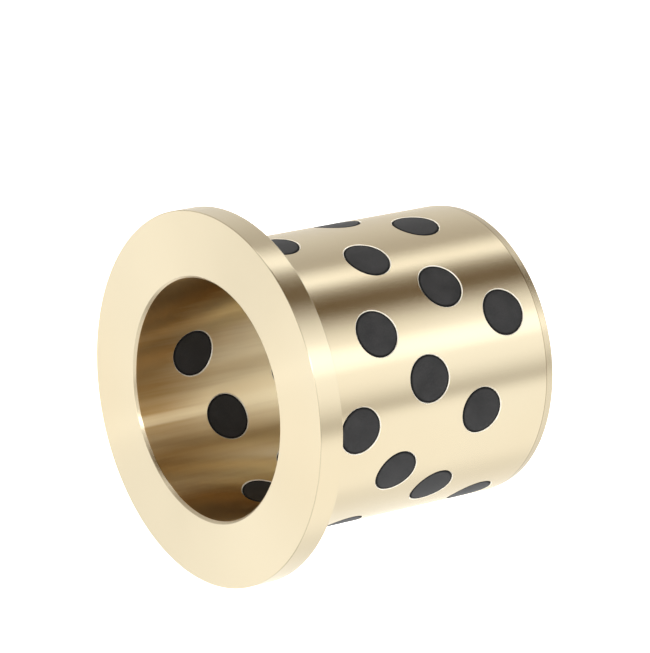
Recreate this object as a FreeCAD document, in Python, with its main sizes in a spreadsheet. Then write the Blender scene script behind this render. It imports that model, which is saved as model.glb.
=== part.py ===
import FreeCAD, Part
import math
import os

import Sketcher

# Flanged self-lubricating bush: a bronze sleeve with a thin flange turned from the same piece,
# and graphite plugs pressed through its wall in rows that wind down the sleeve.
# Origin: middle of the plain end's face. +Z runs along the bore towards the flange.
# +X points about at the seat that begins the first row. Sizes are millimetres and degrees.

# Driving sizes of the turned piece
turnedSizes = {
    "bore_diameter": 45.0,
    "wall_thickness": 5.0,
    "flange_reach": 7.5,
    "flange_thickness": 5.0,
    "overall_length": 60.0,
    "bore_chamfer": 0.5,
    "flange_edge_break": 0.4,
    "flange_root_cove": 0.5,
    "lead_in_length": 1.8,
    "lead_in_angle": 10.0,
}

# Driving sizes of the plugs and of their seats. Each row starts one setback under the flange's
# shoulder and winds down in even steps to one end height above the plain end.
seatSizes = {
    "plug_diameter": 8.8,
    "first_seat_setback": 9.0,
    "last_seat_height": 8.8,
    "row_angle": 90.0,
    "seat_step_angle": 36.0,
    "drill_overrun": 2.0,
}

# How far each seat stands off that even pattern, one list for each row from the flange down:
# degrees round the sleeve, then millimetres up it
seatDrift = [
    [(1.0, -0.8), (0.5, -1.2), (-2.4, -1.7), (-2.8, -1.2), (-1.0, -0.6), (-0.5, -0.3), (-2.0, 0.0)],
    [(0.4, -0.4), (0.0, -0.6), (-1.5, -3.0), (0.0, -3.4), (-5.0, -1.6), (1.0, -0.5), (1.8, 0.9)],
    [(0.9, 0.6), (-1.0, 0.9), (-4.2, -3.0), (-3.0, -0.6), (0.0, 2.3), (-1.2, 2.1), (-0.8, 0.6)],
    [(-6.3, -3.1), (-5.0, -1.6), (-3.1, 1.3), (-2.4, 1.7), (-3.5, -0.5), (-4.1, -0.2), (-2.0, 0.0)],
]
stepsInRow = len(seatDrift[0]) - 1

# Radii and heights that follow from the driving sizes, as spreadsheet formulas
boreRadius = "sizes.bore_diameter / 2"
bodyRadius = "(%s + sizes.wall_thickness)" % boreRadius
flangeRadius = "(%s + sizes.flange_reach)" % bodyRadius
shoulderHeight = "(sizes.overall_length - sizes.flange_thickness)"
firstSeatHeight = "(%s - sizes.first_seat_setback)" % shoulderHeight
stepDrop = "(%s - sizes.last_seat_height) / %d" % (firstSeatHeight, stepsInRow)

doc = FreeCAD.newDocument("FlangedBush")


def makeSheet(sizes):
    """Put every driving size into one spreadsheet, each under its own name."""
    sheet = doc.addObject("Spreadsheet::Sheet", "sizes")
    for line, (alias, value) in enumerate(sizes, start=1):
        sheet.set("A%d" % line, alias)
        sheet.set("B%d" % line, repr(value))
        sheet.setAlias("B%d" % line, alias)


def seatName(row, place):
    return "row_%d_seat_%d" % (row + 1, place + 1)


def allSizes():
    """The turned piece's sizes, the pattern's sizes and the drift of every seat."""
    sizes = list(turnedSizes.items()) + list(seatSizes.items())
    for row, seats in enumerate(seatDrift):
        for place, (turn, rise) in enumerate(seats):
            sizes.append(("turn_" + seatName(row, place), turn))
            sizes.append(("rise_" + seatName(row, place), rise))
    return sizes


def originPlane(body, role):
    for feature in body.Origin.OriginFeatures:
        if feature.Role == role:
            return feature
    raise RuntimeError("no origin feature " + role)


def halfSectionCorners():
    """Corners of the half section in order: along the plain end, up the outside, back along the flange's face."""
    size = turnedSizes
    bore = size["bore_diameter"] / 2
    body = bore + size["wall_thickness"]
    rim = body + size["flange_reach"]
    top = size["overall_length"]
    shoulder = top - size["flange_thickness"]
    mouth = size["bore_chamfer"]
    edge = size["flange_edge_break"]
    cove = size["flange_root_cove"]
    leadDepth = size["lead_in_length"] * math.tan(math.radians(size["lead_in_angle"]))
    return {
        "plain_end_inner": (bore + mouth, 0),
        "plain_end_outer": (body - leadDepth, 0),
        "lead_in_top": (body, size["lead_in_length"]),
        "cove_low": (body, shoulder - cove),
        "cove_high": (body + cove, shoulder),
        "shoulder_outer": (rim - edge, shoulder),
        "rim_low": (rim, shoulder + edge),
        "rim_high": (rim, top - edge),
        "face_outer": (rim - edge, top),
        "face_inner": (bore + mouth, top),
        "bore_high": (bore, top - mouth),
        "bore_low": (bore, mouth),
    }


def turnedSleeve():
    """The sleeve and its flange as one revolved half section, before the seats are drilled."""
    body = doc.addObject("PartDesign::Body", "turned_blank")
    sketch = body.newObject("Sketcher::SketchObject", "half_section")
    sketch.AttachmentSupport = [(originPlane(body, "XZ_Plane"), "")]
    sketch.MapMode = "FlatFace"

    corners = halfSectionCorners()
    names = list(corners)
    points = [FreeCAD.Vector(x, y, 0) for x, y in corners.values()]
    for index in range(len(points)):
        sketch.addGeometry(Part.LineSegment(points[index - 1], points[index]))
    # The line that ends at a corner has that corner's number, and meets the next line there.
    for index in range(len(points)):
        following = (index + 1) % len(points)
        sketch.addConstraint(Sketcher.Constraint("Coincident", index, 2, following, 1))
    for name in ("plain_end_outer", "shoulder_outer", "face_inner"):
        sketch.addConstraint(Sketcher.Constraint("Horizontal", names.index(name)))
    for name in ("cove_low", "rim_high", "bore_low"):
        sketch.addConstraint(Sketcher.Constraint("Vertical", names.index(name)))

    def corner(name):
        return (-1, 1) if name == "origin" else (names.index(name), 2)

    leadDepth = "sizes.lead_in_length * tan(sizes.lead_in_angle)"
    across = [
        ("origin", "bore_high", boreRadius),
        ("origin", "lead_in_top", bodyRadius),
        ("origin", "rim_low", flangeRadius),
        ("bore_low", "plain_end_inner", "sizes.bore_chamfer"),
        ("bore_high", "face_inner", "sizes.bore_chamfer"),
        ("cove_low", "cove_high", "sizes.flange_root_cove"),
        ("shoulder_outer", "rim_low", "sizes.flange_edge_break"),
        ("face_outer", "rim_high", "sizes.flange_edge_break"),
        ("plain_end_outer", "lead_in_top", leadDepth),
    ]
    upward = [
        ("origin", "face_outer", "sizes.overall_length"),
        ("origin", "cove_high", shoulderHeight),
        ("plain_end_inner", "bore_low", "sizes.bore_chamfer"),
        ("bore_high", "face_inner", "sizes.bore_chamfer"),
        ("cove_low", "cove_high", "sizes.flange_root_cove"),
        ("shoulder_outer", "rim_low", "sizes.flange_edge_break"),
        ("rim_high", "face_outer", "sizes.flange_edge_break"),
        ("plain_end_outer", "lead_in_top", "sizes.lead_in_length"),
    ]
    for kind, distances in (("DistanceX", across), ("DistanceY", upward)):
        for start, end, formula in distances:
            index = sketch.addConstraint(Sketcher.Constraint(kind, *corner(start), *corner(end), 1.0))
            sketch.setExpression("Constraints[%d]" % index, formula)
    sketch.addConstraint(Sketcher.Constraint("PointOnObject", *corner("plain_end_inner"), -1))

    turned = body.newObject("PartDesign::Revolution", "turned")
    turned.Profile = sketch
    turned.ReferenceAxis = (sketch, ["V_Axis"])
    turned.Angle = 360
    body.Tip = turned
    return body


def wallCylinder(name, radius):
    cylinder = doc.addObject("Part::Cylinder", name)
    cylinder.setExpression("Radius", radius)
    cylinder.setExpression("Height", "sizes.overall_length")
    return cylinder


def wallRing():
    """The sleeve's wall without its flange: it trims each plug flush outside and in the bore."""
    ring = doc.addObject("Part::Cut", "wall_ring")
    ring.Base = wallCylinder("wall_outside", bodyRadius)
    ring.Tool = wallCylinder("wall_inside", boreRadius)
    return ring


def radialDrill(row, place):
    """A round bar along one seat's radius, from just inside the bore to just outside the wall."""
    name = seatName(row, place)
    angle = "%d * sizes.row_angle + %d * sizes.seat_step_angle + sizes.turn_%s" % (row, place, name)
    height = "%s - %d * %s + sizes.rise_%s" % (firstSeatHeight, place, stepDrop, name)
    start = "(%s - sizes.drill_overrun)" % boreRadius
    drill = doc.addObject("Part::Cylinder", "drill_" + name)
    drill.setExpression("Radius", "sizes.plug_diameter / 2")
    drill.setExpression("Height", "sizes.wall_thickness + 2 * sizes.drill_overrun")
    base = "create(<<vector>>; %s * cos(%s); %s * sin(%s); %s)" % (start, angle, start, angle, height)
    outward = "create(<<rotation>>; %s; 90; 0)" % angle
    drill.setExpression("Placement", "create(<<placement>>; %s; %s)" % (base, outward))
    return drill


def graphitePlug(drill, ring, name):
    """One plug: the part of its drill's bar that lies in the wall."""
    plug = doc.addObject("Part::Common", name)
    plug.Base = drill
    plug.Tool = ring
    return plug


def drilledSleeve(blank, drills):
    """The turned piece with every seat drilled through its wall."""
    bars = doc.addObject("Part::Compound", "all_drills")
    bars.Links = drills
    sleeve = doc.addObject("Part::Cut", "flanged_sleeve")
    sleeve.Base = blank
    sleeve.Tool = bars
    return sleeve


makeSheet(allSizes())
doc.recompute()

blank = turnedSleeve()
ring = wallRing()
drills = []
plugs = []
for row, seats in enumerate(seatDrift):
    for place in range(len(seats)):
        drill = radialDrill(row, place)
        drills.append(drill)
        plugs.append(graphitePlug(drill, ring, "graphite_plug_%d_%d" % (row + 1, place + 1)))
sleeve = drilledSleeve(blank, drills)
doc.recompute()

for item in doc.Objects:
    if "Invalid" in item.State or "Error" in item.State:
        raise RuntimeError("failed object " + item.Name)

# Every seat must really be cut: what the sleeve loses is what the plugs fill, within a hundredth.
plugVolume = sum(plug.Shape.Volume for plug in plugs)
cutVolume = blank.Shape.Volume - sleeve.Shape.Volume
if abs(cutVolume - plugVolume) > plugVolume / 100:
    raise RuntimeError("the seats and the plugs differ")

nodes = [sleeve] + plugs
for node in nodes:
    if node.Shape.isNull() or not node.Shape.isValid() or len(node.Shape.Solids) != 1:
        raise RuntimeError("bad shape " + node.Label)
os.makedirs("parts", exist_ok=True)
for node in nodes:
    node.Shape.exportStep("parts/%s.step" % node.Label)
print("nodes", len(nodes), "sleeve volume", round(sleeve.Shape.Volume), "plug volume", round(plugVolume))
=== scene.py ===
import math

import bpy
import numpy as np
from mathutils import Matrix, Vector


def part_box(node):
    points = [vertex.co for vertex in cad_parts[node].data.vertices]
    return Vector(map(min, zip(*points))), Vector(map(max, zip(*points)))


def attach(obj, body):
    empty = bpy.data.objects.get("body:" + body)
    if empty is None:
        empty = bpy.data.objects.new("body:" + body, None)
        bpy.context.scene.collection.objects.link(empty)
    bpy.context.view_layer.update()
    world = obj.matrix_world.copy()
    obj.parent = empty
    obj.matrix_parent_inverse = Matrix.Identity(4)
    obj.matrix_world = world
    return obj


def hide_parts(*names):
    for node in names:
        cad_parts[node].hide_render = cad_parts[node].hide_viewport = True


# Flanged plain bearing: a turned bronze sleeve with graphite plugs pressed through its wall.
# Everything is in metres, with +Z along the bore towards the flange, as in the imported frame.

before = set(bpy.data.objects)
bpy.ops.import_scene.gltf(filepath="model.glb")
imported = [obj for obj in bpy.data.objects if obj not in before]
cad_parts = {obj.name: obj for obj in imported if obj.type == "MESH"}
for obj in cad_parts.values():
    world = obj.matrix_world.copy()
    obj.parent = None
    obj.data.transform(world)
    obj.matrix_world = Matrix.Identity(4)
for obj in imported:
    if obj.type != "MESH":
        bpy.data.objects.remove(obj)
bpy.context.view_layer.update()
mm = 0.001


class Signal:
    # one output socket of a node tree, so that sums and products on it add Math nodes

    def __init__(self, bench, socket):
        self.bench = bench
        self.socket = socket

    def output(self, name):
        return Signal(self.bench, self.socket.node.outputs[name])

    def maths(self, operation, *values):
        return self.bench.add("ShaderNodeMath", {"operation": operation}, dict(enumerate(values)))

    def __add__(self, other):
        return self.maths("ADD", self, other)

    def __radd__(self, other):
        return self.maths("ADD", other, self)

    def __sub__(self, other):
        return self.maths("SUBTRACT", self, other)

    def __rsub__(self, other):
        return self.maths("SUBTRACT", other, self)

    def __mul__(self, other):
        return self.maths("MULTIPLY", self, other)

    def __rmul__(self, other):
        return self.maths("MULTIPLY", other, self)

    def __truediv__(self, other):
        return self.maths("DIVIDE", self, other)

    def __pow__(self, other):
        return self.maths("POWER", self, other)

    def __neg__(self):
        return self.maths("MULTIPLY", self, -1.0)

    def root(self):
        return self.maths("SQRT", self)

    def unsigned(self):
        return self.maths("ABSOLUTE", self)

    def above(self, limit):
        return self.maths("GREATER_THAN", self, limit)

    def remap(self, low, high, toLow=0.0, toHigh=1.0):
        # a smooth step between two values, held at both ends
        settings = {"interpolation_type": "SMOOTHSTEP"}
        values = {"Value": self, "From Min": low, "From Max": high, "To Min": toLow, "To Max": toHigh}
        return self.bench.add("ShaderNodeMapRange", settings, values)


class Bench:
    # one node tree, for a material, the world or Geometry Nodes

    def __init__(self, tree):
        self.tree = tree

    def add(self, kind, settings=None, values=None, pick=None):
        # a node of one kind: its settings first, then the values or links of its sockets by name or number
        node = self.tree.nodes.new(kind)
        for name, setting in (settings or {}).items():
            setattr(node, name, setting)
        inUse = {socket.name: socket for socket in node.inputs if socket.enabled}
        for name, value in (values or {}).items():
            socket = node.inputs[name] if isinstance(name, int) else inUse[name]
            if isinstance(value, Signal):
                self.tree.links.new(value.socket, socket)
            else:
                socket.default_value = value
        outputs = [socket for socket in node.outputs if socket.enabled and pick in (None, socket.name)]
        return Signal(self, outputs[0]) if outputs else None

    def vector(self, x, y, z):
        return self.add("ShaderNodeCombineXYZ", None, {"X": x, "Y": y, "Z": z})

    def parts(self, vector):
        split = self.add("ShaderNodeSeparateXYZ", None, {0: vector})
        return [split.output(axis) for axis in "XYZ"]

    def mixColour(self, factor, first, second):
        return self.add("ShaderNodeMix", {"data_type": "RGBA"}, {"Factor": factor, "A": first, "B": second})


# Named inputs of a Geometry Nodes tree, in the order that a user would change them
def startTree(name, inputs):
    tree = bpy.data.node_groups.new(name, "GeometryNodeTree")
    for label, kind in inputs:
        tree.interface.new_socket(name=label, in_out="INPUT", socket_type="NodeSocket" + kind)
    tree.interface.new_socket(name="Mesh", in_out="OUTPUT", socket_type="NodeSocketGeometry")
    bench = Bench(tree)
    given = bench.add("NodeGroupInput")
    return tree, bench, {label: given.output(label) for label, kind in inputs}


# Gives the finished shape its material and hands it out of the tree
def endTree(bench, shape, finish):
    finished = bench.add("GeometryNodeSetMaterial", None, {"Geometry": shape, "Material": finish})
    bench.add("NodeGroupOutput", None, {"Mesh": finished})


# Runs a tree on a starting mesh and keeps the result as a plain mesh of its own
def growPiece(name, startMesh, tree, values):
    starter = bpy.data.objects.new(name + "_start", startMesh)
    bpy.context.scene.collection.objects.link(starter)
    modifier = starter.modifiers.new("build", "NODES")
    modifier.node_group = tree
    for item in tree.interface.items_tree:
        if item.in_out == "INPUT" and item.name in values:
            modifier[item.identifier] = values[item.name]
    graph = bpy.context.evaluated_depsgraph_get()
    mesh = bpy.data.meshes.new_from_object(starter.evaluated_get(graph))
    bpy.data.objects.remove(starter)
    mesh.name = name
    piece = bpy.data.objects.new(name, mesh)
    bpy.context.scene.collection.objects.link(piece)
    print(name, "has", len(mesh.polygons), "faces")
    return piece


# Sizes of the turned piece, in millimetres and degrees
turned = {
    "boreRadius": 22.5,
    "bodyRadius": 27.5,
    "flangeRadius": 35.0,
    "length": 60.0,
    "flangeThickness": 5.0,
    "boreChamfer": 0.5,
    "flangeEdgeBreak": 0.12,
    "flangeRootCove": 0.5,
    "leadInLength": 1.8,
    "leadInAngle": 10.0,
    "edgeRound": 0.3,
    "stepsInEdgeRound": 5,
    "stepsAround": 320,
}

# Sizes of the seats and the plugs, in millimetres
plugged = {
    "seatRadius": 4.4,
    "mouthBreak": 0.20,
    "drillOverrun": 0.5,
    "plugSink": 0.03,
    "plugEdgeBreak": 0.09,
    "stepsAround": 72,
    "ringsInEnd": 7,
    "sharpAngle": 30.0,
}


# The half section of the turned piece, as a closed loop of edges: radius from the wall's middle, and height
def halfSection():
    size = turned
    bore, body, rim = size["boreRadius"], size["bodyRadius"], size["flangeRadius"]
    top, shoulder = size["length"], size["length"] - size["flangeThickness"]
    mouth, edge, cove = size["boreChamfer"], size["flangeEdgeBreak"], size["flangeRootCove"]
    leadDepth = size["leadInLength"] * math.tan(math.radians(size["leadInAngle"]))
    corners = [
        (bore + mouth, 0), (body - leadDepth, 0), (body, size["leadInLength"]),
        (body, shoulder - cove), (body + cove, shoulder), (rim - edge, shoulder),
        (rim, shoulder + edge), (rim, top - edge), (rim - edge, top),
        (bore + mouth, top), (bore, top - mouth), (bore, mouth),
    ]
    middle = (bore + body) / 2
    mesh = bpy.data.meshes.new("half_section")
    points = [((radius - middle) * mm, -height * mm, 0) for radius, height in corners]
    mesh.from_pydata(points, [(i, (i + 1) % len(points)) for i in range(len(points))], [])
    return mesh


# One point on the axis at each seat's height, with the seat's direction as an attribute
def seatPoints():
    seats = []
    for name, node in sorted(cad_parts.items()):
        if name.startswith("graphite_plug"):
            low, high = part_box(name)
            middle = sum((v.co for v in node.data.vertices), Vector()) / len(node.data.vertices)
            seats.append((math.atan2(middle.y, middle.x), (low.z + high.z) / 2))
    mesh = bpy.data.meshes.new("seat_points")
    mesh.from_pydata([(0, 0, height) for _, height in seats], [], [])
    turn = mesh.attributes.new("seatTurn", "FLOAT", "POINT")
    turn.data.foreach_set("value", [angle for angle, _ in seats])
    return mesh, seats


# A round bar along +X through the wall, whose two ends follow the wall's curves.
# Its end rings stand off the wall by End Shift and Shoulder Shift, outwards positive.
def barTree():
    inputs = [
        ("Seat Radius", "Float"), ("Outside Radius", "Float"), ("Bore Radius", "Float"),
        ("End Shift", "Float"), ("End Growth", "Float"), ("Shoulder Shift", "Float"),
        ("Steps Around", "Int"), ("Rings In End", "Int"),
    ]
    tree, bench, given = startTree("barThroughWall", inputs)
    # The blank stands one high about its middle, with a shoulder ring a third in from each end
    blank = bench.add("GeometryNodeMeshCylinder", {"fill_type": "TRIANGLE_FAN"}, {
        "Vertices": given["Steps Around"],
        "Side Segments": 3,
        "Fill Segments": given["Rings In End"],
        "Radius": given["Seat Radius"],
        "Depth": 1.0,
    }, pick="Mesh")
    x, y, z = bench.parts(bench.add("GeometryNodeInputPosition"))
    outer = (z + 0.5).above(0.5)
    side = outer * 2.0 - 1.0
    atEnd = z.unsigned().above(0.4)
    growth = 1.0 + atEnd * given["End Growth"] / given["Seat Radius"]
    across = x * growth
    up = y * growth
    wall = given["Bore Radius"] + outer * (given["Outside Radius"] - given["Bore Radius"])
    surface = (wall * wall - across * across).root()
    shift = given["Shoulder Shift"] + atEnd * (given["End Shift"] - given["Shoulder Shift"])
    fromMiddle = (x ** 2.0 + y ** 2.0).root() / given["Seat Radius"]
    marked = bench.add("GeometryNodeStoreNamedAttribute", {"data_type": "FLOAT", "domain": "POINT"},
                       {"Geometry": blank, "Name": "fromMiddle", "Value": fromMiddle})
    bar = bench.add("GeometryNodeSetPosition", None,
                    {"Geometry": marked, "Position": bench.vector(surface + side * shift, across, up)})
    bench.add("NodeGroupOutput", None, {"Mesh": bar})
    return tree


# The bar once at every seat, turned to the seat's direction
def atEverySeat(bench, bar, points, sizes):
    shape = bench.add("GeometryNodeGroup", {"node_tree": bar}, sizes)
    turn = bench.add("GeometryNodeInputNamedAttribute", {"data_type": "FLOAT"}, {"Name": "seatTurn"})
    placed = bench.add("GeometryNodeInstanceOnPoints", None,
                       {"Points": points, "Instance": shape, "Rotation": bench.vector(0.0, 0.0, turn)})
    return bench.add("GeometryNodeRealizeInstances", None, {"Geometry": placed})


# The turned piece: its half section swept round the axis, then every seat cut through the wall
def sleeveTree(bar):
    inputs = [
        ("Half Section", "Geometry"), ("Seats", "Object"), ("Finish", "Material"), ("Wall Middle", "Float"),
        ("Edge Round", "Float"), ("Edge Steps", "Int"), ("Sleeve Steps", "Int"), ("Seat Radius", "Float"),
        ("Outside Radius", "Float"), ("Bore Radius", "Float"), ("Mouth Break", "Float"),
        ("Drill Overrun", "Float"), ("Seat Steps", "Int"),
    ]
    tree, bench, given = startTree("turnedAndDrilled", inputs)
    section = bench.add("GeometryNodeMeshToCurve", None, {"Mesh": given["Half Section"]})
    section = bench.add("GeometryNodeFilletCurve", {"mode": "POLY"}, {
        "Curve": section,
        "Count": given["Edge Steps"],
        "Radius": given["Edge Round"],
        "Limit Radius": True,
    })
    path = bench.add("GeometryNodeCurvePrimitiveCircle", {"mode": "RADIUS"},
                     {"Resolution": given["Sleeve Steps"], "Radius": given["Wall Middle"]})
    blank = bench.add("GeometryNodeCurveToMesh", None,
                      {"Curve": path, "Profile Curve": section, "Fill Caps": False})
    seats = bench.add("GeometryNodeObjectInfo", {"transform_space": "ORIGINAL"},
                      {"Object": given["Seats"]}, pick="Geometry")
    drills = atEverySeat(bench, bar, seats, {
        "Seat Radius": given["Seat Radius"],
        "Outside Radius": given["Outside Radius"],
        "Bore Radius": given["Bore Radius"],
        "End Shift": given["Drill Overrun"],
        "End Growth": given["Mouth Break"] + given["Drill Overrun"],
        "Shoulder Shift": -given["Mouth Break"],
        "Steps Around": given["Seat Steps"],
        "Rings In End": 1,
    })
    drills = bench.add("GeometryNodeTriangulate", None, {"Mesh": drills})
    cut = bench.add("GeometryNodeMeshBoolean", {"operation": "DIFFERENCE", "solver": "EXACT"},
                    {"Mesh 1": blank, "Mesh 2": drills})
    whole = bench.add("GeometryNodeRealizeInstances", None, {"Geometry": cut})
    endTree(bench, whole, given["Finish"])
    return tree


# The plugs: one at each point of the starting mesh
def plugTree(bar):
    inputs = [
        ("Seats", "Geometry"), ("Finish", "Material"), ("Seat Radius", "Float"),
        ("Outside Radius", "Float"), ("Bore Radius", "Float"), ("Sink", "Float"),
        ("Edge Break", "Float"), ("Plug Steps", "Int"), ("End Rings", "Int"),
    ]
    tree, bench, given = startTree("pluggedSeats", inputs)
    plugs = atEverySeat(bench, bar, given["Seats"], {
        "Seat Radius": given["Seat Radius"],
        "Outside Radius": given["Outside Radius"],
        "Bore Radius": given["Bore Radius"],
        "End Shift": -given["Sink"],
        "End Growth": -given["Edge Break"],
        "Shoulder Shift": -(given["Sink"] + given["Edge Break"]),
        "Steps Around": given["Plug Steps"],
        "Rings In End": given["End Rings"],
    })
    endTree(bench, plugs, given["Finish"])
    return tree


# What tells the sleeve's surfaces apart when its normals are set, in millimetres. The last value is
# the least lean of a seat's broken edge, as a share of the seat's axis.
surfaces = {
    "seatZone": (3.0, 52.0),
    "wallSkin": 0.01,
    "ringStep": 0.004,
    "leastLean": 0.3,
}


def readMesh(items, name, width=1, kind=float):
    values = np.empty(len(items) * width, kind)
    items.foreach_get(name, values)
    return values.reshape(-1, width) if width > 1 else values


# Each corner of the sleeve gets the true normal of the turned or drilled surface that it lies on
def setTrueNormals(mesh, seats):
    bore, body = turned["boreRadius"] * mm, turned["bodyRadius"] * mm
    zoneLow, zoneHigh = [height * mm for height in surfaces["seatZone"]]
    skin = surfaces["wallSkin"] * mm
    loopTotal = readMesh(mesh.polygons, "loop_total", kind=int)
    loopFace = np.repeat(np.arange(len(mesh.polygons)), loopTotal)
    at = readMesh(mesh.vertices, "co", 3)[readMesh(mesh.loops, "vertex_index", kind=int)]
    radius = np.hypot(at[:, 0], at[:, 1])
    outward = at * [1, 1, 0] / radius[:, None]
    ofFace = readMesh(mesh.polygons, "normal", 3)[loopFace]

    # Faces of a seat lie inside the wall, off both of its surfaces.
    faceRadius = np.bincount(loopFace, radius) / loopTotal
    faceHeight = np.bincount(loopFace, at[:, 2]) / loopTotal
    nearSeats = (faceHeight > zoneLow) & (faceHeight < zoneHigh)
    inWall = (faceRadius > bore + skin) & (faceRadius < body - skin)
    ofSeat = (nearSeats & inWall)[loopFace]
    mesh.polygons.foreach_set("material_index", (nearSeats & inWall).astype(int))

    # A turned corner's normal is the same all round its ring, and the broad faces beside it lead.
    ring = np.round(np.c_[radius, at[:, 2]] / (surfaces["ringStep"] * mm)).astype(int)
    _, ringOf = np.unique(ring, axis=0, return_inverse=True)
    ringOf = ringOf.ravel()
    weight = np.where(ofSeat, 0.0, readMesh(mesh.polygons, "area")[loopFace])
    inOut = np.bincount(ringOf, (ofFace * outward).sum(1) * weight)[ringOf]
    upDown = np.bincount(ringOf, ofFace[:, 2] * weight)[ringOf]
    normal = outward * inOut[:, None] + np.array([0, 0, 1]) * upDown[:, None]
    onWall = (at[:, 2] > zoneLow) & (at[:, 2] < zoneHigh)
    facing = np.where(radius > (bore + body) / 2, 1.0, -1.0)
    normal = np.where(onWall[:, None], outward * facing[:, None], normal)

    # A seat's wall faces its own axis, and its broken edge leans out of the wall by half a right angle.
    angles, heights = np.array(seats).T
    axes = np.c_[np.cos(angles), np.sin(angles), 0 * angles]
    offset = at[:, None, :] - heights[None, :, None] * np.array([0, 0, 1])
    along = (offset * axes[None]).sum(2)
    away = offset - along[:, :, None] * axes[None]
    distance = np.where(along > 0, np.linalg.norm(away, axis=2), 1.0)
    nearest = distance.argmin(1)
    corner = np.arange(len(at))
    inward = -away[corner, nearest] / distance[corner, nearest][:, None]
    lean = (ofFace * axes[nearest]).sum(1)
    leaning = np.where(np.abs(lean) > surfaces["leastLean"], np.sign(lean), 0.0)
    normal = np.where(ofSeat[:, None], inward + axes[nearest] * leaning[:, None], normal)
    normal /= np.linalg.norm(normal, axis=1)[:, None]
    mesh.polygons.foreach_set("use_smooth", [True] * len(mesh.polygons))
    mesh.normals_split_custom_set(normal.tolist())
    mesh.update()
    print("normals set on", len(normal), "corners")


def startMaterial(name):
    material = bpy.data.materials.new(name)
    material.use_nodes = True
    material.node_tree.nodes.clear()
    return material, Bench(material.node_tree)


def closeMaterial(bench, values):
    shader = bench.add("ShaderNodeBsdfPrincipled", None, values)
    bench.add("ShaderNodeOutputMaterial", None, {"Surface": shader})


# The bronze: pale gold, turned, with fine rings round the axis and a faint change of tone.
# Lengths are millimetres. Each scale is in cells to the metre.
bronze = {
    "colour": (0.872, 0.752, 0.532, 1),
    "warmColour": (0.868, 0.735, 0.505, 1),
    "boreColour": (0.965, 0.825, 0.540, 1),
    "boreBlend": (0.06, 0.02),
    "leadInColour": (0.745, 0.635, 0.440, 1),
    "leadInBlend": 0.04,
    "leadInLine": (0.520, 0.420, 0.270, 1),
    "leadInLineBlend": (0.14, 0.04),
    "roughness": 0.25,
    "boreRoughness": 0.05,
    "patchRoughness": 0.05,
    "patchScale": 60.0,
    "toneScale": 22.0,
    "toneContrast": (0.35, 0.65),
    "anisotropic": 1.0,
    "anisotropicTurn": 0.25,
    "ringPitch": 0.16,
    "ringDepth": 0.0004,
    "ringRoughness": 0.02,
}

# Painted shade and painted light in the bore, over a faint even brown tint: painted shade darker towards
# the flange and on the flanks away from 205 degrees, lighter along a painted highlight line at 209.4
# degrees and a painted light band at 234 degrees, and painted reflection streaks along the bore. Each side
# has its direction round the axis in degrees, the cosines of the angle off it between which it comes in,
# and how much painted shade it adds or takes off.
boreShadeAndFilm = {
    "colour": (0.555, 0.365, 0.150, 1),
    "heights": (38.0, 57.0),
    "shadeTowardsFlange": 0.95,
    "everywhere": 0.04,
    "streaks": 1.4,
    "streaksAround": 46.0,
    "streakStretch": 2.0,
    "paintedLightBand": {"at": 234.0, "cosines": (0.85, 0.98), "amount": 0.44},
    "paintedHighlightLine": {"at": 209.4, "cosines": (0.9982, 0.9998), "amount": 0.50},
    "shadedFlanks": {"at": 205.0, "cosines": (0.80, 0.40), "amount": 0.72},
}


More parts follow.
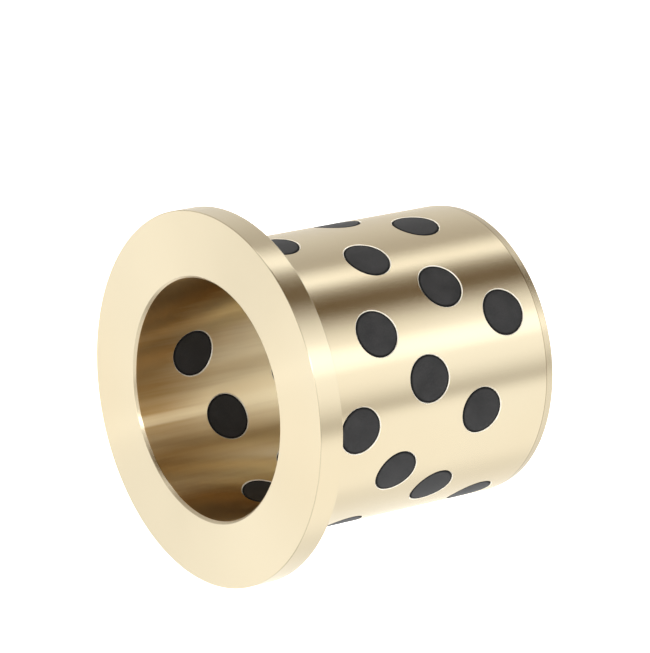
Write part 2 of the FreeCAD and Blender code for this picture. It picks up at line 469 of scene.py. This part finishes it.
def bronzeMaterial():
    material, bench = startMaterial("turned_bronze")
    place = bench.add("ShaderNodeTexCoord", None, None, pick="Object")
    x, y, z = bench.parts(place)
    fromAxis = (x * x + y * y).root()
    # The tool's travel: along the wall, and across the flange's faces
    travel = (fromAxis + z) * (1.0 / (bronze["ringPitch"] * mm))
    ring = bench.add("ShaderNodeTexNoise", {"noise_dimensions": "1D"},
                     {"W": travel, "Scale": 1.0, "Detail": 2.0, "Roughness": 0.6})
    patch = bench.add("ShaderNodeTexNoise", None,
                      {"Vector": place, "Scale": bronze["patchScale"], "Detail": 3.0, "Roughness": 0.55})
    tone = bench.add("ShaderNodeTexNoise", None,
                     {"Vector": place, "Scale": bronze["toneScale"], "Detail": 1.0})
    outside = bench.mixColour(tone.remap(*bronze["toneContrast"]), bronze["colour"], bronze["warmColour"])

    # The lead-in at the plain end is coloured darker, and ends in a darker fine line
    aboveLeadIn = z - turned["leadInLength"] * mm
    onLeadIn = aboveLeadIn.remap(bronze["leadInBlend"] * mm, -bronze["leadInBlend"] * mm)
    outside = bench.mixColour(onLeadIn, outside, bronze["leadInColour"])
    onLine = aboveLeadIn.unsigned().remap(*[offset * mm for offset in bronze["leadInLineBlend"]])
    outside = bench.mixColour(onLine, outside, bronze["leadInLine"])

    def share(side):
        angle = math.radians(side["at"])
        facing = (x * math.cos(angle) + y * math.sin(angle)) / fromAxis
        return facing.remap(*side["cosines"]) * side["amount"]

    alongBore = bench.vector(x / fromAxis, y / fromAxis, z * boreShadeAndFilm["streakStretch"])
    streak = bench.add("ShaderNodeTexNoise", None, {
        "Vector": alongBore,
        "Scale": boreShadeAndFilm["streaksAround"] / (2 * math.pi),
        "Detail": 3.0,
        "Roughness": 0.6,
    })
    # Painted shade and painted light: the bore darkens towards the flange and away from 205 degrees,
    # lightens along the painted highlight line and light band, and has painted reflection streaks
    darkerTowardsFlange = z.remap(*[height * mm for height in boreShadeAndFilm["heights"]])
    shadeAndFilm = darkerTowardsFlange * (boreShadeAndFilm["shadeTowardsFlange"] - (share(boreShadeAndFilm["paintedLightBand"]) + share(boreShadeAndFilm["paintedHighlightLine"])))
    shadeAndFilm = shadeAndFilm + share(boreShadeAndFilm["shadedFlanks"]) + (streak - 0.5) * boreShadeAndFilm["streaks"] + boreShadeAndFilm["everywhere"]
    # The bore's colour: its paler colour mixed towards the brown by the painted shade and light, with a
    # faint even tint
    inside = bench.mixColour(shadeAndFilm, bronze["boreColour"], boreShadeAndFilm["colour"])

    inBore = fromAxis.remap(*[(turned["boreRadius"] + offset) * mm for offset in bronze["boreBlend"]])
    roughness = bronze["roughness"] + (patch - 0.5) * bronze["patchRoughness"]
    roughness = roughness + (ring - 0.5) * bronze["ringRoughness"] + inBore * bronze["boreRoughness"]
    rings = bench.add("ShaderNodeBump", None,
                      {"Height": ring, "Distance": bronze["ringDepth"] * mm, "Strength": 1.0})
    closeMaterial(bench, {
        "Base Color": bench.mixColour(inBore, outside, inside),
        "Metallic": 1.0,
        "Roughness": roughness,
        "Anisotropic": bronze["anisotropic"],
        "Anisotropic Rotation": bronze["anisotropicTurn"],
        "Normal": rings,
    })
    return material


# The broken edge round each seat and the seat's wall: bronze paled and made half diffuse as a painted
# highlight ring round each seat, and without rings
seatEdgeHighlight = {
    "colour": (0.98, 0.92, 0.80, 1),
    "dullColour": (0.90, 0.82, 0.66, 1),
    "metallic": 0.5,
    "roughness": 0.55,
    "chatterScale": 900.0,
    "chatterContrast": (0.3, 0.7),
    "chatterDepth": 0.002,
    "chatterRoughness": 0.1,
}


def seatMaterial():
    material, bench = startMaterial("seat_edge_painted_highlight")
    place = bench.add("ShaderNodeTexCoord", None, None, pick="Object")
    chatter = bench.add("ShaderNodeTexNoise", None,
                        {"Vector": place, "Scale": seatEdgeHighlight["chatterScale"], "Detail": 2.0})
    marks = bench.add("ShaderNodeBump", None,
                      {"Height": chatter, "Distance": seatEdgeHighlight["chatterDepth"] * mm, "Strength": 1.0})
    duller = chatter.remap(*seatEdgeHighlight["chatterContrast"])
    # Painted highlight: the pale colour keeps the seat's broken edge bright all round
    closeMaterial(bench, {
        "Base Color": bench.mixColour(duller, seatEdgeHighlight["colour"], seatEdgeHighlight["dullColour"]),
        "Metallic": seatEdgeHighlight["metallic"],
        "Roughness": seatEdgeHighlight["roughness"] + (chatter - 0.5) * seatEdgeHighlight["chatterRoughness"],
        "Normal": marks,
    })
    return material


# The graphite: soft grey black with fine pores, with painted shade round its rim where it meets the seat,
# and duller there.
# The rim comes in between two shares of the seat's radius.
graphite = {
    "colour": (0.011, 0.0105, 0.0105, 1),
    "paleColour": (0.022, 0.021, 0.021, 1),
    "rimShadeColour": (0.002, 0.002, 0.002, 1),
    "rimBlend": (0.90, 0.98),
    "rimRoughness": 0.3,
    "specular": 0.26,
    "roughness": 0.50,
    "patchRoughness": 0.2,
    "patchScale": 260.0,
    "toneContrast": (0.35, 0.65),
    "poreSize": 0.25,
    "poreDepth": 0.01,
}


def graphiteMaterial():
    material, bench = startMaterial("pressed_graphite")
    place = bench.add("ShaderNodeTexCoord", None, None, pick="Object")
    pores = bench.add("ShaderNodeTexNoise", None, {
        "Vector": place,
        "Scale": 1.0 / (graphite["poreSize"] * mm),
        "Detail": 3.0,
        "Roughness": 0.7,
    })
    patch = bench.add("ShaderNodeTexNoise", None,
                      {"Vector": place, "Scale": graphite["patchScale"], "Detail": 2.0})
    fromMiddle = bench.add("ShaderNodeAttribute",
                           {"attribute_type": "GEOMETRY", "attribute_name": "fromMiddle"}, None, pick="Fac")
    paintedRimShade = fromMiddle.remap(*graphite["rimBlend"])
    paler = (pores * 0.5 + patch * 0.5).remap(*graphite["toneContrast"])
    tone = bench.mixColour(paler, graphite["colour"], graphite["paleColour"])
    roughness = graphite["roughness"] + (patch - 0.5) * graphite["patchRoughness"]
    closeMaterial(bench, {
        # Painted shade: the plug goes nearly black round its rim, in the groove by the seat's broken edge
        "Base Color": bench.mixColour(paintedRimShade, tone, graphite["rimShadeColour"]),
        "Metallic": 0.0,
        "Specular IOR Level": graphite["specular"],
        "Roughness": roughness + paintedRimShade * graphite["rimRoughness"],
        "Normal": bench.add("ShaderNodeBump", None,
                            {"Height": pores, "Distance": graphite["poreDepth"] * mm, "Strength": 0.5}),
    })
    return material


# The stage: a pale floor that curves up into a wall far from the piece, in metres
stage = {
    "flatRadius": 1.6,
    "sweepRadius": 1.2,
    "wallTop": 3.0,
    "stepsInSweep": 12,
    "stepsAround": 96,
    "colour": (0.86, 0.86, 0.86, 1),
    "glow": 0.75,
    "roughness": 0.9,
    "grainRoughness": 0.1,
    "grainScale": 40.0,
}


def stageMesh():
    flat, sweep, around = stage["flatRadius"], stage["sweepRadius"], stage["stepsAround"]
    rings = [(flat, 0.0)]
    for step in range(1, stage["stepsInSweep"] + 1):
        angle = math.radians(90 * step / stage["stepsInSweep"])
        rings.append((flat + sweep * math.sin(angle), sweep * (1 - math.cos(angle))))
    rings.append((rings[-1][0], stage["wallTop"]))
    points = [(0, 0, 0)]
    for radius, height in rings:
        for i in range(around):
            angle = 2 * math.pi * i / around
            points.append((radius * math.cos(angle), radius * math.sin(angle), height))
    faces = []
    for i in range(around):
        following = (i + 1) % around
        faces.append((0, 1 + i, 1 + following))
        for ring in range(len(rings) - 1):
            low, high = 1 + ring * around, 1 + (ring + 1) * around
            faces.append((low + i, high + i, high + following, low + following))
    mesh = bpy.data.meshes.new("pale_stage")
    mesh.from_pydata(points, [], faces)
    mesh.polygons.foreach_set("use_smooth", [True] * len(faces))
    return mesh


def paleStage():
    material, bench = startMaterial("pale_paper")
    place = bench.add("ShaderNodeTexCoord", None, None, pick="Object")
    grain = bench.add("ShaderNodeTexNoise", None, {"Vector": place, "Scale": stage["grainScale"]})
    closeMaterial(bench, {
        "Base Color": stage["colour"],
        "Roughness": stage["roughness"] + (grain - 0.5) * stage["grainRoughness"],
        "Emission Color": (1, 1, 1, 1),
        "Emission Strength": stage["glow"],
    })
    floor = bpy.data.objects.new("pale_stage", stageMesh())
    floor.data.materials.append(material)
    bpy.context.scene.collection.objects.link(floor)
    floor.visible_glossy = False
    floor.visible_shadow = False


# The studio: soft walls of light all round the piece. Each has its direction, its half width and the
# half width of its soft edge in degrees, and its brightness below and above the horizon. The horizon's
# two values are the heights of a direction between which one brightness goes over into the other.
# One soft box hangs overhead, with its sizes in metres.
studio = {
    "air": (0.098, 0.054, 0.006),
    "paper": (1.00, 1.06, 1.12),
    "horizon": (-0.15, 0.35),
    "walls": [
        {"at": -112, "half": 38, "edge": 4, "low": 0.68, "high": 0.30},
        {"at": -84, "half": 14, "edge": 10, "low": 0.17, "high": 0.05},
        {"at": -42, "half": 31, "edge": 6, "low": 1.04, "high": 0.80},
        {"at": 29, "half": 27, "edge": 19, "low": 1.07, "high": 0.78},
        {"at": 34, "half": 6, "edge": 6, "low": 0.30, "high": 0.50},
        {"at": 34, "half": 3, "edge": 2, "low": 0.00, "high": 2.20},
        {"at": 100, "half": 7, "edge": 1, "low": 1.40, "high": 0.80},
        {"at": 123, "half": 14, "edge": 7, "low": 0.44, "high": 0.30},
        {"at": 172, "half": 30, "edge": 16, "low": 0.72, "high": 0.46},
        {"at": 222, "half": 32, "edge": 16, "low": 0.40, "high": 0.74},
        {"at": 222, "half": 3, "edge": 2, "low": 0.65, "high": 0.00},
    ],
    "box": {
        "azimuth": 206,
        "elevation": 72,
        "distance": 1.2,
        "width": 0.7,
        "height": 0.7,
        "brightness": 0.42,
    },
}


# The cosine of an angle in degrees, held between nought and a half turn
def cosine(degrees):
    return math.cos(math.radians(max(0.0, min(180.0, degrees))))


# Each wall of light is a window on the direction's angle round the axis
def studioWorld():
    world = bpy.data.worlds.new("studio")
    world.use_nodes = True
    world.node_tree.nodes.clear()
    bench = Bench(world.node_tree)

    def vectorMaths(operation, first, second=(0.0, 0.0, 0.0)):
        return bench.add("ShaderNodeVectorMath", {"operation": operation}, {0: first, 1: second})

    towards = bench.add("ShaderNodeTexCoord", None, None, pick="Generated")
    height = bench.parts(towards)[2]
    level = vectorMaths("NORMALIZE", vectorMaths("MULTIPLY", towards, (1.0, 1.0, 0.0)))
    total = 0.0
    for wall in studio["walls"]:
        angle = math.radians(wall["at"])
        facing = vectorMaths("DOT_PRODUCT", level, (math.cos(angle), math.sin(angle), 0.0))
        low, high = cosine(wall["half"] + wall["edge"]), cosine(wall["half"] - wall["edge"])
        strength = height.remap(*studio["horizon"], wall["low"], wall["high"])
        total = facing.remap(low, high) * strength + total
    light = vectorMaths("MULTIPLY", bench.vector(total, total, total), studio["paper"])
    sky = bench.add("ShaderNodeBackground", None, {"Color": vectorMaths("ADD", light, studio["air"])})
    bench.add("ShaderNodeOutputWorld", None, {"Surface": sky})
    bpy.context.scene.world = world


def overheadBox():
    box = studio["box"]
    middle = Vector((0, 0, turned["length"] * mm / 2))
    azimuth, elevation = math.radians(box["azimuth"]), math.radians(box["elevation"])
    level = math.cos(elevation)
    towards = Vector((math.cos(azimuth) * level, math.sin(azimuth) * level, math.sin(elevation)))
    data = bpy.data.lights.new("overhead_box", "AREA")
    data.shape = "RECTANGLE"
    data.size, data.size_y = box["width"], box["height"]
    data.energy = math.pi * box["brightness"] * box["width"] * box["height"]
    light = bpy.data.objects.new("overhead_box", data)
    light.location = middle + towards * box["distance"]
    light.rotation_mode = "QUATERNION"
    light.rotation_quaternion = (-towards).to_track_quat("-Z", "Y")
    light.visible_camera = False
    bpy.context.scene.collection.objects.link(light)


# The camera, at the photograph's place in the part's own frame: millimetres, degrees and metres
camera = {
    "place": (582.93, 271.88, 493.31),
    "aim": (-3.649, 8.115, 30.295),
    "roll": -101.24,
    "lens": 234.56,
    "sensor": 36,
    "sees": (0.05, 20),
}


def photographCamera():
    data = bpy.data.cameras.new("photograph")
    data.lens = camera["lens"]
    data.sensor_width = camera["sensor"]
    data.clip_start, data.clip_end = camera["sees"]
    viewer = bpy.data.objects.new("photograph", data)
    place, aim = Vector(camera["place"]) * mm, Vector(camera["aim"]) * mm
    turn = (aim - place).to_track_quat("-Z", "Y").to_matrix().to_4x4()
    roll = Matrix.Rotation(math.radians(camera["roll"]), 4, "Z")
    viewer.matrix_world = Matrix.Translation(place) @ turn @ roll
    bpy.context.scene.collection.objects.link(viewer)
    bpy.context.scene.camera = viewer


seatMesh, seats = seatPoints()
seatMarks = bpy.data.objects.new("seat_marks", seatMesh)
bpy.context.scene.collection.objects.link(seatMarks)
print("found", len(seats), "seats")

bar = barTree()
sleeveFinishes = [bronzeMaterial(), seatMaterial()]  # the second one is for the seats' faces
sleeve = growPiece("bronze_sleeve", halfSection(), sleeveTree(bar), {
    "Seats": seatMarks,
    "Finish": sleeveFinishes[0],
    "Wall Middle": (turned["boreRadius"] + turned["bodyRadius"]) / 2 * mm,
    "Edge Round": turned["edgeRound"] * mm,
    "Edge Steps": turned["stepsInEdgeRound"],
    "Sleeve Steps": turned["stepsAround"],
    "Seat Radius": plugged["seatRadius"] * mm,
    "Outside Radius": turned["bodyRadius"] * mm,
    "Bore Radius": turned["boreRadius"] * mm,
    "Mouth Break": plugged["mouthBreak"] * mm,
    "Drill Overrun": plugged["drillOverrun"] * mm,
    "Seat Steps": plugged["stepsAround"],
})
sleeve.data.materials.clear()
for finish in sleeveFinishes:
    sleeve.data.materials.append(finish)
setTrueNormals(sleeve.data, seats)
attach(sleeve, "root")
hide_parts("flanged_sleeve")

plugs = growPiece("graphite_plugs", seatMesh.copy(), plugTree(bar), {
    "Finish": graphiteMaterial(),
    "Seat Radius": plugged["seatRadius"] * mm,
    "Outside Radius": turned["bodyRadius"] * mm,
    "Bore Radius": turned["boreRadius"] * mm,
    "Sink": plugged["plugSink"] * mm,
    "Edge Break": plugged["plugEdgeBreak"] * mm,
    "Plug Steps": plugged["stepsAround"],
    "End Rings": plugged["ringsInEnd"],
})
plugs.data.polygons.foreach_set("use_smooth", [True] * len(plugs.data.polygons))
plugs.data.set_sharp_from_angle(angle=math.radians(plugged["sharpAngle"]))
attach(plugs, "root")
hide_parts(*sorted(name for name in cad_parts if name.startswith("graphite_plug")))
bpy.data.objects.remove(seatMarks)

paleStage()
studioWorld()
overheadBox()
photographCamera()
bpy.context.scene.view_settings.view_transform = "Standard"
print("stage, light and camera are set")
